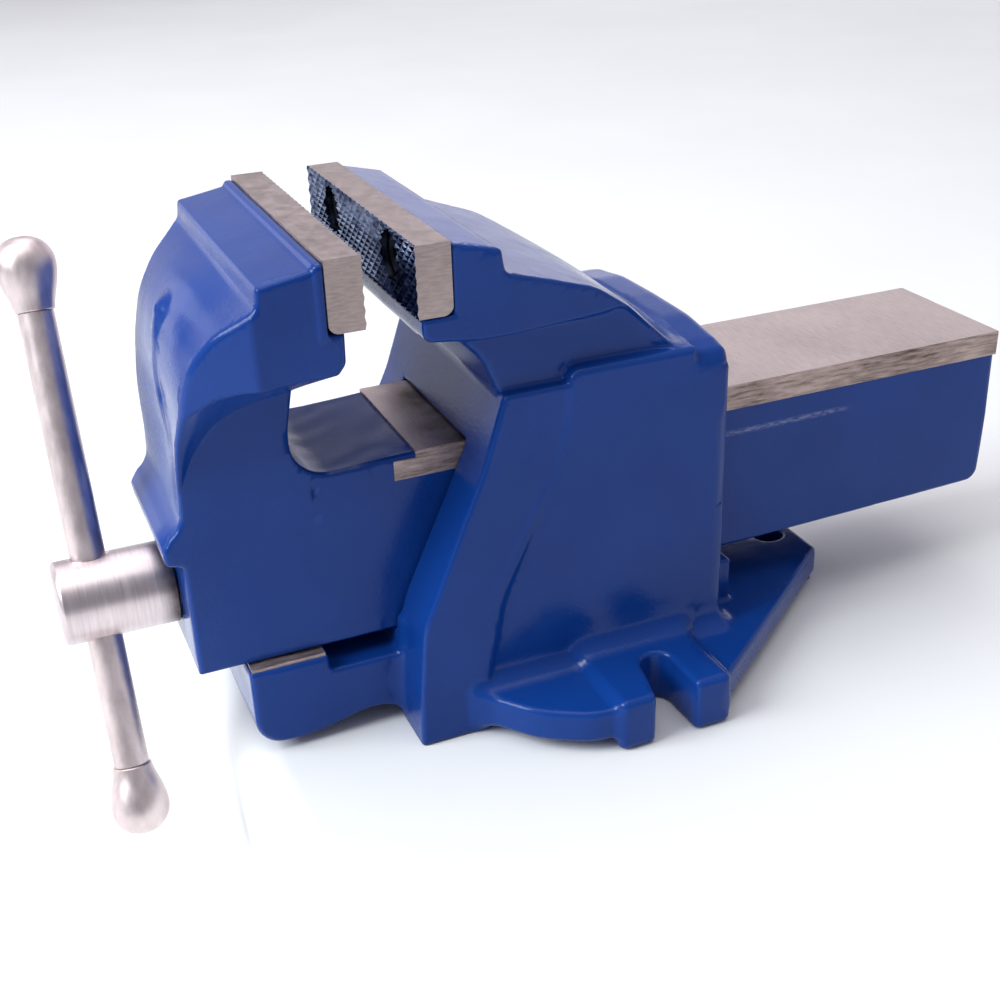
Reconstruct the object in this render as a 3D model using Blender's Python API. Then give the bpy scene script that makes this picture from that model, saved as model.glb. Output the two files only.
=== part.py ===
"""Engineer's bench vise, 100 mm jaws, plain screw, modelled as separate working pieces.

Frame: the origin is on the mounting plane under the base, midway between the two side bolt slots.
+X is across the jaws, +Y runs from the handle towards the beam's rear end, +Z is up.
Sizes below are millimetres; every outline is turned into metres where its mesh is made.
"""
import math

import bmesh
import bpy
from mathutils import Matrix, Vector

MM = 0.001

# Driving dimensions, in millimetres
JAW_WIDTH = 100.0
PLATE_THICKNESS = 10.4
PLATE_HEIGHT = 20.3
GAP_AT_REST = 14.2
JAW_TOP = 160.0              # jaw plate top above the mounting plane
FIXED_FACE_Y = -69.0         # gripping face of the fixed jaw plate
BEAM_WIDTH = 53.6            # over the machined side strips
BEAM_TOP = 91.0
BEAM_BOTTOM = 31.6
BEAM_REAR_Y = 152.7
SLIDE_FRONT_Y = -136.4       # flat front of the slide, where the screw head bears
THROAT_FLOOR = 89.0          # painted top of the beam in front of the machined strip
MACHINED_FROM_Y = -64.4
BODY_WIDTH = 88.0            # over the box that guides the beam
BASE_HALF_WIDTH = 77.5
SCREW_HEIGHT = 51.4
SCREW_DIAMETER = 22.0
SCREW_HEAD_DIAMETER = 25.8
SCREW_HEAD_LENGTH = 34.6
BAR_DIAMETER = 10.6
BAR_TILT = math.radians(20.3)   # the bar leans away from +X at its top
BAR_UPPER_ARM = 100.2        # screw axis to the middle of the upper knob
BAR_LOWER_ARM = 67.0         # screw axis to the middle of the lower knob
KNOB_DIAMETER = 17.6

# Clearances between pieces
TOUCH_GAP = 0.3              # pieces that bear on each other
SLIDE_GAP = 0.4              # beam in the body's passage

# Worked out from the driving dimensions
HALF_JAW = JAW_WIDTH / 2
MOVING_FACE_Y = FIXED_FACE_Y - GAP_AT_REST
FIXED_SEAT_Y = FIXED_FACE_Y + PLATE_THICKNESS + TOUCH_GAP
MOVING_SEAT_Y = MOVING_FACE_Y - PLATE_THICKNESS - TOUCH_GAP
PLATE_BOTTOM = JAW_TOP - PLATE_HEIGHT
SEAT_BOTTOM = PLATE_BOTTOM - TOUCH_GAP
HALF_BEAM = BEAM_WIDTH / 2
HALF_BODY = BODY_WIDTH / 2
SCREW_RADIUS = SCREW_DIAMETER / 2
HEAD_RADIUS = SCREW_HEAD_DIAMETER / 2
HEAD_FRONT_Y = SLIDE_FRONT_Y - TOUCH_GAP - SCREW_HEAD_LENGTH
BAR_Y = HEAD_FRONT_Y + 11.5
BAR_AXIS = Vector((-math.sin(BAR_TILT), 0.0, math.cos(BAR_TILT)))

# The slide's front wall, and what sits on the screw behind it
WALL_REAR_Y = -114.0
WASHER_THICKNESS = 2.0
COLLAR_LENGTH = 10.0
COLLAR_RADIUS = 15.5
SCREW_END_Y = 104.0
HOLLOW_HALF_WIDTH = 17.0
HOLLOW_TOP = 78.0

# The nut block and its bolt
NUT_FRONT_Y = -49.0
NUT_REAR_Y = -3.0
NUT_HALF_WIDTH = 15.0
NUT_TOP = 68.0
FLOOR_TOP = BEAM_BOTTOM - TOUCH_GAP
FLOOR_BOTTOM = 20.0
NUT_BOLT_Y = -34.0
NUT_BOLT_RADIUS = 5.0
DOWEL_RADIUS = 3.0
DOWEL_Y = (-43.5, -24.5)

PLATE_SCREW_X = 27.0
PLATE_SCREW_Z = JAW_TOP - 8.5
PLATE_SCREW_RADIUS = 4.0
PLATE_SCREW_HEAD_RADIUS = 6.6
PLATE_SCREW_LENGTH = 20.0

SLOT_HALF_WIDTH = 5.3
SLOT_END_X = 61.0
TAIL_HOLE_Y = 80.0
TAIL_HOLE_RADIUS = 5.5

BORE_SIDES = 32
ROUND_SIDES = 32


# ---------------------------------------------------------------- scene and meshes

def clear_scene():
    for item in list(bpy.data.objects):
        bpy.data.objects.remove(item, do_unlink=True)


def make_material(name, color, roughness, metallic):
    material = bpy.data.materials.new(name)
    material.use_nodes = True
    shader = material.node_tree.nodes["Principled BSDF"]
    shader.inputs["Base Color"].default_value = (*color, 1.0)
    shader.inputs["Roughness"].default_value = roughness
    shader.inputs["Metallic"].default_value = metallic
    return material


def add_object(name, bm, material=None):
    """Give a bmesh, in metres, an object of its own with its normals pointing out."""
    bmesh.ops.recalc_face_normals(bm, faces=bm.faces)
    mesh = bpy.data.meshes.new(name)
    bm.to_mesh(mesh)
    bm.free()
    item = bpy.data.objects.new(name, mesh)
    bpy.context.collection.objects.link(item)
    if material:
        mesh.materials.append(material)
    return item


def set_origin(item, point):
    """Move an object's origin to a point in millimetres and leave its surface in place."""
    offset = Vector(point) * MM
    item.data.transform(Matrix.Translation(-offset))
    item.location = offset


def shade_round(item, angle=math.radians(35)):
    item.data.shade_smooth()
    item.data.set_sharp_from_angle(angle=angle)


def hide_cutter(item):
    item.hide_render = True
    item.display_type = "WIRE"


def combine(target, other, operation):
    """Cut, join or intersect target with other, which stays as a hidden guide."""
    modifier = target.modifiers.new(other.name, "BOOLEAN")
    modifier.operation = operation
    modifier.object = other
    modifier.solver = "EXACT"
    hide_cutter(other)


def cut(target, *others):
    for other in others:
        combine(target, other, "DIFFERENCE")


def join(target, *others):
    for other in others:
        combine(target, other, "UNION")


def keep_inside(target, *others):
    for other in others:
        combine(target, other, "INTERSECT")


# ---------------------------------------------------------------- outlines

def round_corners(outline, segments=5):
    """Turn (a, b) and (a, b, radius) points into a plain outline with arcs at the corners."""
    points = []
    count = len(outline)
    for index, corner in enumerate(outline):
        here = Vector(corner[:2])
        if len(corner) < 3:
            points.append(here)
            continue
        to_last = (Vector(outline[index - 1][:2]) - here).normalized()
        to_next = (Vector(outline[(index + 1) % count][:2]) - here).normalized()
        half_angle = to_last.angle(to_next) / 2
        radius = corner[2]
        reach = radius / math.tan(half_angle)
        middle = here + (to_last + to_next).normalized() * radius / math.sin(half_angle)
        start = here + to_last * reach - middle
        end = here + to_next * reach - middle
        sweep = start.angle_signed(end)
        for step in range(segments + 1):
            angle = -sweep * step / segments
            turn = Matrix.Rotation(angle, 2)
            points.append(middle + turn @ start)
    return points


def mirrored(half):
    """Close a half outline (x >= 0) over the x = 0 line."""
    return half + [(-point[0], *point[1:]) for point in reversed(half)]


def extrude_outline(name, outline, low, high, place, material=None):
    """Extrude a closed outline from low to high; place turns (a, b, height) into (x, y, z)."""
    points = round_corners(outline)
    bm = bmesh.new()
    ring_low = [bm.verts.new(Vector(place(a, b, low)) * MM) for a, b in points]
    ring_high = [bm.verts.new(Vector(place(a, b, high)) * MM) for a, b in points]
    bm.faces.new(ring_low)
    bm.faces.new(list(reversed(ring_high)))
    for index in range(len(points)):
        after = (index + 1) % len(points)
        bm.faces.new((ring_low[after], ring_low[index], ring_high[index], ring_high[after]))
    return add_object(name, bm, material)


def prism_x(name, outline, low, high, material=None):
    """An outline in (y, z), extruded along X."""
    return extrude_outline(name, outline, low, high, lambda a, b, h: (h, a, b), material)


def prism_y(name, outline, low, high, material=None):
    """An outline in (x, z), extruded along Y."""
    return extrude_outline(name, outline, low, high, lambda a, b, h: (a, h, b), material)


def prism_z(name, outline, low, high, material=None):
    """An outline in (x, y), extruded along Z."""
    return extrude_outline(name, outline, low, high, lambda a, b, h: (a, b, h), material)


def box(name, low, high, material=None):
    outline = [(low[0], low[1]), (high[0], low[1]), (high[0], high[1]), (low[0], high[1])]
    return prism_z(name, outline, low[2], high[2], material)


def turned(name, profile, start, direction, material=None, sides=ROUND_SIDES):
    """Turn (distance, radius) points about the axis that leaves start along direction."""
    axis = Vector(direction).normalized()
    across = axis.orthogonal().normalized()
    bm = bmesh.new()
    rings = []
    for distance, radius in profile:
        centre = Vector(start) + axis * distance
        if radius == 0.0:
            rings.append([bm.verts.new(centre * MM)])
            continue
        ring = []
        for side in range(sides):
            spoke = Matrix.Rotation(2 * math.pi * side / sides, 3, axis) @ across
            ring.append(bm.verts.new((centre + spoke * radius) * MM))
        rings.append(ring)
    for first, second in zip(rings, rings[1:]):
        for side in range(sides):
            after = (side + 1) % sides
            corners = [first[side % len(first)], first[after % len(first)],
                       second[after % len(second)], second[side % len(second)]]
            bm.faces.new(list(dict.fromkeys(corners)))
    for ring in (rings[0], rings[-1]):
        if len(ring) > 1:
            bm.faces.new(ring)
    return add_object(name, bm, material)


def rod(name, start, end, radius, material=None, sides=BORE_SIDES):
    span = Vector(end) - Vector(start)
    return turned(name, [(0.0, radius), (span.length, radius)], start, span, material, sides)


# ---------------------------------------------------------------- body casting

# Front edge of the body seen from the side, (y, z), from the foot up to the jaw seat
BODY_FRONT = [(-74.8, 0.0), (-73.6, 20.0), (-72.2, 41.0, 30.0), (-48.5, 89.0, 60.0),
              (-41.2, 106.5, 10.0), (-47.5, 121.5, 20.0), (-57.5, 131.2, 10.0),
              (-67.7, 133.2, 2.0)]
FOOT_TOP = 4.0               # underside of the flange between the feet and lugs
HOOD_REAR_Y = 32.0


def body_side_outline():
    head_top = [(FIXED_SEAT_Y, JAW_TOP - 0.7), (-44.1, 155.4, 1.5), (-43.3, 148.6, 2.0),
                (-22.7, 142.3, 60.0), (-4.0, 134.6, 30.0), (10.5, 121.5, 12.0),
                (18.0, 117.6, 6.0)]
    rear = [(HOOD_REAR_Y - 1.0, 117.0, 6.0), (HOOD_REAR_Y, 90.0), (HOOD_REAR_Y, FOOT_TOP)]
    seat = [(FIXED_FACE_Y + 1.3, SEAT_BOTTOM), (FIXED_SEAT_Y, SEAT_BOTTOM)]
    return [(-74.8, FOOT_TOP)] + BODY_FRONT[1:] + seat + head_top + rear


def body_front_envelope():
    """Half-width of the body at each height: wide jaw, tucked neck, straight box."""
    return mirrored([(HALF_BODY, 0.0), (HALF_BODY, 112.0, 2.0), (40.5, 117.0, 4.0),
                     (40.5, 124.0, 5.0), (45.0, 130.0, 3.0), (HALF_JAW, 131.0, 1.5),
                     (HALF_JAW, JAW_TOP + 4)])


def body_plan_envelope():
    """The jaw's end faces are flat at the front and draw in to the box behind."""
    return mirrored([(HALF_JAW, -80.0), (HALF_JAW, -41.0, 3.0), (46.8, -22.7, 60.0),
                     (HALF_BODY, 0.0, 30.0), (HALF_BODY, 60.0)])


def hood_crown():
    """Everything above the hood behind the jaw, which is crowned from side to side."""
    crown = [(0.0, 117.2), (22.0, 116.6), (38.0, 115.0), (43.0, 112.0), (60.0, 104.0),
             (60.0, 150.0)]
    outline = crown + [(-x, z) for x, z in reversed(crown[1:])]
    return prism_y("cut_hood_crown", outline, 17.0, 60.0)


def body_legs():
    """The two front legs are ribbons that follow the body's front edge and flare to the foot."""
    rear_edge = [(-21.0, 111.0, 3.0), (-22.5, 99.0, 30.0), (-36.8, 65.0, 60.0),
                 (-46.5, 46.0, 40.0), (-52.6, 18.0), (-53.0, 0.0)]
    ribbon = BODY_FRONT[:4] + [(-41.5, 110.0)] + rear_edge
    flare = mirrored([(48.0, 0.0), (47.6, 5.0), (46.0, 50.0, 60.0), (45.2, 100.0),
                      (44.6, 120.0)])
    legs = prism_x("body_legs", ribbon, -60.0, 60.0)
    keep_inside(legs, prism_y("legs_flare", flare, -90.0, 0.0))
    return legs


def base_flange():
    half = [(0.0, -58.0), (48.0, -57.0), (57.0, -50.0), (65.5, -43.3, 30.0), (74.5, -29.0, 20.0),
            (BASE_HALF_WIDTH, -20.0), (BASE_HALF_WIDTH, 18.0, 2.0), (73.5, 19.0),
            (16.0, 91.0, 3.0), (0.0, 91.0)]
    outline = half + [(-point[0], *point[1:]) for point in reversed(half[1:-1])]
    return prism_z("base_flange", outline, FOOT_TOP, 15.0)


def side_lug(side):
    """Raised pad round a bolt slot; its underside is part of the mounting plane."""
    outline = [(30.0 * side, -21.0), (BASE_HALF_WIDTH * side, -21.0, 4.0),
               (BASE_HALF_WIDTH * side, 18.0, 4.0), (30.0 * side, 18.0)]
    return prism_z(f"side_lug_{'right' if side > 0 else 'left'}", outline, 0.0, 18.0)


def slot_cutter(side):
    """Open bolt slot: round inner end, straight rear wall, front wall opening outwards."""
    outline = [(90.0, SLOT_HALF_WIDTH)]
    for step in range(9):
        angle = math.pi / 2 + math.pi * step / 8
        outline.append((SLOT_END_X + SLOT_HALF_WIDTH * math.cos(angle),
                        SLOT_HALF_WIDTH * math.sin(angle)))
    outline.append((90.0, -SLOT_HALF_WIDTH - 6.5))
    return prism_z(f"cut_slot_{'right' if side > 0 else 'left'}",
                   [(side * x, y) for x, y in outline], -5.0, 30.0)


def front_tongue():
    """The nose under the slide, with its machined pad and the notch behind the pad."""
    outline = [(-122.5, FLOOR_TOP), (-122.5, 3.5, 8.0), (-60.0, 3.5), (-60.0, FLOOR_TOP + 8),
               (-75.0, FLOOR_TOP + 8), (-75.5, 25.0, 2.0), (-97.5, 25.0, 1.5),
               (-98.0, FLOOR_TOP)]
    return prism_x("front_tongue", outline, -31.0, 31.0)


def make_body(material):
    body = prism_x("body_casting", body_side_outline(), -HALF_JAW, HALF_JAW, material)
    keep_inside(body, prism_y("body_front_form", body_front_envelope(), -90.0, 70.0),
                prism_z("body_plan_form", body_plan_envelope(), -5.0, 170.0))
    cut(body, hood_crown())
    rear_ledge = box("rear_ledge", (-34.4, 20.0, FOOT_TOP), (34.4, 42.6, FLOOR_TOP))
    centre_band = box("centre_band", (-40.0, -20.9, 0.0), (40.0, 17.9, 12.0))
    tail_pad = box("tail_pad", (-15.0, 62.0, 0.0), (15.0, 90.6, 8.0))
    join(body, body_legs(), base_flange(), rear_ledge, centre_band, tail_pad,
         side_lug(1), side_lug(-1), front_tongue())
    half_passage = HALF_BEAM + SLIDE_GAP
    passage = box("cut_passage", (-half_passage, -140.0, FLOOR_TOP),
                  (half_passage, 80.0, BEAM_TOP + SLIDE_GAP))
    front_pocket = box("cut_front_pocket", (-22.0, -112.0, -5.0), (22.0, -22.0, FLOOR_BOTTOM))
    tail_hole = rod("cut_tail_hole", (0, TAIL_HOLE_Y, -5), (0, TAIL_HOLE_Y, 30), TAIL_HOLE_RADIUS)
    bolt_hole = rod("cut_nut_bolt_hole", (0, NUT_BOLT_Y, 10), (0, NUT_BOLT_Y, 40),
                    NUT_BOLT_RADIUS + TOUCH_GAP)
    cut(body, passage, front_pocket, slot_cutter(1), slot_cutter(-1), tail_hole, bolt_hole)
    for index, y in enumerate(DOWEL_Y):
        cut(body, rod(f"cut_body_dowel_{index}", (0, y, FLOOR_TOP - 6), (0, y, 40),
                      DOWEL_RADIUS + TOUCH_GAP, sides=20))
    for side in (-1, 1):
        cut(body, plate_screw_hole(f"cut_fixed_hole_{side}", side, FIXED_FACE_Y, 1))
    return body


# ---------------------------------------------------------------- slide casting

def jaw_side_outline():
    """The moving jaw and its neck seen from the side, (y, z), down to the slide's bottom."""
    seat = [(MOVING_SEAT_Y, SEAT_BOTTOM), (MOVING_SEAT_Y, JAW_TOP - 1.2), (-97.0, 158.5, 0.6),
            (-98.0, 157.2), (-111.4, 154.9, 1.0), (-112.0, 149.6, 3.0)]
    front = [(-121.4, 140.7, 40.0), (-127.3, 132.8, 30.0), (-131.9, 121.5, 50.0),
             (-134.5, 108.6, 60.0), (-135.2, 80.0, 1.0)]
    brow = [(-138.5, 78.6), (-141.4, 75.0, 2.0), (-140.5, 71.5, 1.5), (-136.0, 69.2, 1.0)]
    foot = [(SLIDE_FRONT_Y, BEAM_BOTTOM), (-90.0, BEAM_BOTTOM), (-90.0, THROAT_FLOOR + 0.3)]
    throat = [(-101.8, 89.2, 11.0), (-101.8, 104.0, 30.0), (-99.0, 118.5, 10.0),
              (-89.0, 130.5, 3.0), (-88.6, SEAT_BOTTOM)]
    return seat + front + brow + foot + throat


def jaw_front_envelope():
    """Half-width of the moving jaw at each height."""
    return mirrored([(27.6, 20.0), (27.6, 113.5, 8.0), (HALF_JAW, 127.5, 1.5),
                     (HALF_JAW, 170.0)])


def jaw_scoop(side):
    """The jaw's front corner is cut away, deeper towards the bottom."""
    outline = [(HALF_JAW, -112.4), (HALF_JAW + 20, -112.4), (HALF_JAW + 20, -150.0),
               (26.0, -150.0), (27.6, -137.0), (34.0, -131.0)]
    return prism_z(f"cut_scoop_{'right' if side > 0 else 'left'}",
                   [(side * x, y) for x, y in outline], 60.0, 152.0)


def make_slide(material):
    slide = prism_x("slide_casting", jaw_side_outline(), -HALF_JAW, HALF_JAW, material)
    keep_inside(slide, prism_y("jaw_front_form", jaw_front_envelope(), -160.0, -60.0))
    cut(slide, jaw_scoop(1), jaw_scoop(-1))
    side_face = HALF_BEAM - 0.7
    beam = prism_y("beam", mirrored([(side_face, BEAM_BOTTOM), (side_face, BEAM_TOP - 8.5),
                                     (HALF_BEAM, BEAM_TOP - 8.5), (HALF_BEAM, BEAM_TOP)]),
                   -112.0, BEAM_REAR_Y)
    join(slide, beam)
    hollow = box("cut_hollow", (-HOLLOW_HALF_WIDTH, WALL_REAR_Y, 0.0),
                 (HOLLOW_HALF_WIDTH, BEAM_REAR_Y + 10, HOLLOW_TOP))
    bore = rod("cut_screw_bore", (0, -160, SCREW_HEIGHT), (0, -90, SCREW_HEIGHT),
               SCREW_RADIUS + TOUCH_GAP)
    rear_rise = prism_x("cut_rear_rise", [(40.0, 0.0), (170.0, 0.0), (170.0, BEAM_BOTTOM + 2.4),
                                          (40.0, BEAM_BOTTOM)], -60.0, 60.0)
    throat_floor = box("cut_throat_floor", (-40.0, -90.0, THROAT_FLOOR),
                       (40.0, MACHINED_FROM_Y, BEAM_TOP + 5))
    cut(slide, hollow, bore, rear_rise, throat_floor)
    for side in (-1, 1):
        cut(slide, plate_screw_hole(f"cut_moving_hole_{side}", side, MOVING_FACE_Y, -1))
    return slide


# ---------------------------------------------------------------- jaw plates and their screws

def plate_screw_hole(name, side, face_y, direction):
    """Tapped hole behind a jaw plate; direction is +1 or -1 along Y, away from the grip."""
    start = (side * PLATE_SCREW_X, face_y, PLATE_SCREW_Z)
    end = (side * PLATE_SCREW_X, face_y + direction * (PLATE_SCREW_LENGTH + 2), PLATE_SCREW_Z)
    return rod(name, start, end, PLATE_SCREW_RADIUS + TOUCH_GAP, sides=24)


def countersink(name, side, face_y, direction):
    profile = [(-1.0, PLATE_SCREW_HEAD_RADIUS + 0.4), (4.0, PLATE_SCREW_HEAD_RADIUS + 0.4),
               (7.0, PLATE_SCREW_RADIUS + 0.4), (PLATE_THICKNESS + 2, PLATE_SCREW_RADIUS + 0.4)]
    return turned(name, profile, (side * PLATE_SCREW_X, face_y, PLATE_SCREW_Z),
                  (0, direction, 0), sides=24)


def make_plate(name, face_y, direction, material):
    back_y = face_y + direction * PLATE_THICKNESS
    outline = [(face_y, JAW_TOP), (back_y, JAW_TOP), (back_y, PLATE_BOTTOM, 3.0),
               (face_y, PLATE_BOTTOM)]
    plate = prism_x(name, outline, -HALF_JAW, HALF_JAW, material)
    for side in (-1, 1):
        cut(plate, countersink(f"cut_{name}_{side}", side, face_y, direction))
    return plate


def make_plate_screw(name, side, face_y, direction, material):
    """Countersunk screw with a hexagon socket, its head below the gripping face."""
    profile = [(1.6, PLATE_SCREW_HEAD_RADIUS), (3.9, PLATE_SCREW_HEAD_RADIUS),
               (6.9, PLATE_SCREW_RADIUS), (PLATE_SCREW_LENGTH, PLATE_SCREW_RADIUS)]
    start = Vector((side * PLATE_SCREW_X, face_y, PLATE_SCREW_Z))
    screw = turned(name, profile, start, (0, direction, 0), material, sides=24)
    socket = rod(f"cut_{name}_socket", start, start + Vector((0, direction * 5.0, 0)), 2.9,
                 sides=6)
    cut(screw, socket)
    shade_round(screw)
    return screw


# ---------------------------------------------------------------- screw, nut and handle

def along_bar(distance):
    return Vector((0.0, BAR_Y, SCREW_HEIGHT)) + BAR_AXIS * distance


def make_main_screw(material):
    head_end = SCREW_HEAD_LENGTH
    length = SCREW_END_Y - HEAD_FRONT_Y
    profile = [(0.0, HEAD_RADIUS - 1.0), (1.0, HEAD_RADIUS), (head_end, HEAD_RADIUS),
               (head_end, SCREW_RADIUS), (length - 2.0, SCREW_RADIUS),
               (length, SCREW_RADIUS - 2.0)]
    screw = turned("main_screw", profile, (0, HEAD_FRONT_Y, SCREW_HEIGHT), (0, 1, 0), material)
    bar_hole = rod("cut_bar_hole", along_bar(-20), along_bar(20), BAR_DIAMETER / 2 + TOUCH_GAP)
    pin_hole = rod("cut_screw_pin_hole", (-20, pin_y(), SCREW_HEIGHT), (20, pin_y(), SCREW_HEIGHT),
                   2.0 + TOUCH_GAP, sides=16)
    cut(screw, bar_hole, pin_hole)
    shade_round(screw)
    set_origin(screw, (0, HEAD_FRONT_Y, SCREW_HEIGHT))
    return screw


def washer_y():
    return WALL_REAR_Y + TOUCH_GAP


def collar_y():
    return washer_y() + WASHER_THICKNESS + TOUCH_GAP


def pin_y():
    return collar_y() + COLLAR_LENGTH / 2


def ring(name, start_y, length, outer, inner, material):
    start = (0, start_y, SCREW_HEIGHT)
    piece = turned(name, [(0.0, outer), (length, outer)], start, (0, 1, 0), material)
    cut(piece, rod(f"cut_{name}", (0, start_y - 5, SCREW_HEIGHT),
                   (0, start_y + length + 5, SCREW_HEIGHT), inner))
    shade_round(piece)
    return piece


def make_screw_retainer(steel):
    ring("thrust_washer", washer_y(), WASHER_THICKNESS, COLLAR_RADIUS, SCREW_RADIUS + TOUCH_GAP,
         steel)
    collar = ring("retaining_collar", collar_y(), COLLAR_LENGTH, COLLAR_RADIUS,
                  SCREW_RADIUS + TOUCH_GAP, steel)
    cut(collar, rod("cut_collar_pin_hole", (-20, pin_y(), SCREW_HEIGHT),
                    (20, pin_y(), SCREW_HEIGHT), 2.0 + TOUCH_GAP, sides=16))
    pin = rod("collar_pin", (-15, pin_y(), SCREW_HEIGHT), (15, pin_y(), SCREW_HEIGHT), 2.0, steel,
              sides=16)
    shade_round(pin)


def make_nut(cast, steel):
    outline = mirrored([(NUT_HALF_WIDTH, FLOOR_TOP + TOUCH_GAP), (NUT_HALF_WIDTH, NUT_TOP, 5.0)])
    nut = prism_y("screw_nut", outline, NUT_FRONT_Y, NUT_REAR_Y, cast)
    cut(nut, rod("cut_nut_bore", (0, NUT_FRONT_Y - 5, SCREW_HEIGHT),
                 (0, NUT_REAR_Y + 5, SCREW_HEIGHT), SCREW_RADIUS + TOUCH_GAP),
        rod("cut_nut_thread", (0, NUT_BOLT_Y, 20), (0, NUT_BOLT_Y, 38.5),
            NUT_BOLT_RADIUS + TOUCH_GAP))
    for index, y in enumerate(DOWEL_Y):
        cut(nut, rod(f"cut_nut_dowel_{index}", (0, y, 20), (0, y, FLOOR_TOP + 6),
                     DOWEL_RADIUS + TOUCH_GAP, sides=20))
        name = "nut_dowel_front" if index == 0 else "nut_dowel_rear"
        dowel = rod(name, (0, y, FLOOR_TOP - 5), (0, y, FLOOR_TOP + 5.5), DOWEL_RADIUS, steel, 20)
        shade_round(dowel)
    return nut


def make_nut_bolt(steel):
    """Hexagon bolt from below, with its washer, holding the nut block down on the floor."""
    washer_top = FLOOR_BOTTOM - TOUCH_GAP
    washer = rod("nut_bolt_washer", (0, NUT_BOLT_Y, washer_top - 2.0),
                 (0, NUT_BOLT_Y, washer_top), 10.0, steel)
    cut(washer, rod("cut_bolt_washer", (0, NUT_BOLT_Y, 0), (0, NUT_BOLT_Y, 30),
                    NUT_BOLT_RADIUS + TOUCH_GAP))
    shade_round(washer)
    head_top = washer_top - 2.0 - TOUCH_GAP
    shank = rod("nut_bolt", (0, NUT_BOLT_Y, head_top - 1.0), (0, NUT_BOLT_Y, 38.0),
                NUT_BOLT_RADIUS, steel)
    join(shank, rod("nut_bolt_head", (0, NUT_BOLT_Y, head_top - 6.4), (0, NUT_BOLT_Y, head_top),
                    9.2, sides=6))
    shade_round(shank)


def knob_profile():
    """Pear shape from its neck on the bar to its rounded end, as (distance, radius)."""
    radius = KNOB_DIAMETER / 2
    neck = BAR_DIAMETER / 2 + 0.5
    profile = [(-13.5, neck), (-11.0, neck + 0.2), (-8.0, neck + 1.2), (-5.0, radius - 1.0)]
    for step in range(7):
        angle = math.radians(-15 + 105 * step / 6)
        distance = radius * math.sin(angle)
        profile.append((distance, radius * math.cos(angle) if step < 6 else 0.0))
    return profile


def make_handle(bar_steel, knob_steel):
    spigot = 3.0
    shoulder = 13.8
    upper_end = BAR_UPPER_ARM - shoulder
    lower_end = BAR_LOWER_ARM - shoulder
    profile = [(-lower_end - 9, spigot), (-lower_end, spigot), (-lower_end, BAR_DIAMETER / 2),
               (upper_end, BAR_DIAMETER / 2), (upper_end, spigot), (upper_end + 9, spigot)]
    bar = turned("handle_bar", profile, along_bar(0), BAR_AXIS, bar_steel)
    shade_round(bar)
    set_origin(bar, along_bar(0))
    for name, arm, direction in (("handle_knob_upper", BAR_UPPER_ARM, 1),
                                 ("handle_knob_lower", BAR_LOWER_ARM, -1)):
        middle = along_bar(direction * arm)
        knob = turned(name, knob_profile(), middle, BAR_AXIS * direction, knob_steel, sides=24)
        cut(knob, rod(f"cut_{name}", along_bar(direction * (arm - 20)),
                      along_bar(direction * (arm - 4.4)), spigot + TOUCH_GAP))
        shade_round(knob)
        set_origin(knob, middle)


def main():
    clear_scene()
    paint = make_material("blue_paint", (0.03, 0.11, 0.36), 0.25, 0.0)
    plate_steel = make_material("jaw_plate_steel", (0.42, 0.38, 0.36), 0.45, 1.0)
    screw_steel = make_material("screw_steel", (0.46, 0.43, 0.42), 0.35, 1.0)
    bar_steel = make_material("polished_steel", (0.6, 0.58, 0.58), 0.2, 1.0)
    dark_steel = make_material("black_oxide_steel", (0.05, 0.05, 0.055), 0.5, 1.0)
    plain_steel = make_material("plain_steel", (0.4, 0.39, 0.38), 0.4, 1.0)
    nut_iron = make_material("cast_iron", (0.16, 0.155, 0.15), 0.6, 1.0)

    make_body(paint)
    make_slide(paint)
    make_plate("fixed_jaw_plate", FIXED_FACE_Y, 1, plate_steel)
    make_plate("moving_jaw_plate", MOVING_FACE_Y, -1, plate_steel)
    for side, word in ((-1, "left"), (1, "right")):
        make_plate_screw(f"fixed_plate_screw_{word}", side, FIXED_FACE_Y, 1, dark_steel)
        make_plate_screw(f"moving_plate_screw_{word}", side, MOVING_FACE_Y, -1, dark_steel)
    make_main_screw(screw_steel)
    make_screw_retainer(plain_steel)
    make_nut(nut_iron, plain_steel)
    make_nut_bolt(plain_steel)
    make_handle(bar_steel, bar_steel)


main()
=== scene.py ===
"""Looks of the bench vise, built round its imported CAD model.

Shapes are worked out in millimetres in the CAD's own frame: +X across the jaws, +Y from the
handle to the beam's rear end, +Z up from the bench. Meshes are scaled to metres when made.
"""

import math

import bmesh
import bpy
import numpy as np
import openvdb
from mathutils import Matrix, Vector


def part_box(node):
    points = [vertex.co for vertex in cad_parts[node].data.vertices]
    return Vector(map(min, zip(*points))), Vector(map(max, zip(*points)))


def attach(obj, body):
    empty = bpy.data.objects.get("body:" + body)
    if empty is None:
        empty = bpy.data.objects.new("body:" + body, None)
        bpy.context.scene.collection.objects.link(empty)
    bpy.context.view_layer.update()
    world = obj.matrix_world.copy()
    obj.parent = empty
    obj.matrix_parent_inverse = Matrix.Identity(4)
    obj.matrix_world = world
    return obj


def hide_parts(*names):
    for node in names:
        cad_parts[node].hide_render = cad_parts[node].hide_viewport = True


MM = 0.001
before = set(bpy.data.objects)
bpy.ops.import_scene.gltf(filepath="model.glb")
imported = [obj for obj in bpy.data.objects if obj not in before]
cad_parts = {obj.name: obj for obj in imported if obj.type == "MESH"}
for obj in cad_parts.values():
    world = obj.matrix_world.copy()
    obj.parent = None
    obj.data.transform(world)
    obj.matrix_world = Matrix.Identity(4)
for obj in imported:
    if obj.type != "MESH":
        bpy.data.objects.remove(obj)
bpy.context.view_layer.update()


def node_box(name):
    """A CAD node's lowest and highest corner at rest, in millimetres."""
    low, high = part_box(name)
    return Vector(low) / MM, Vector(high) / MM


# ---------------------------------------------------------------- sizes taken from the frame

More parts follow.
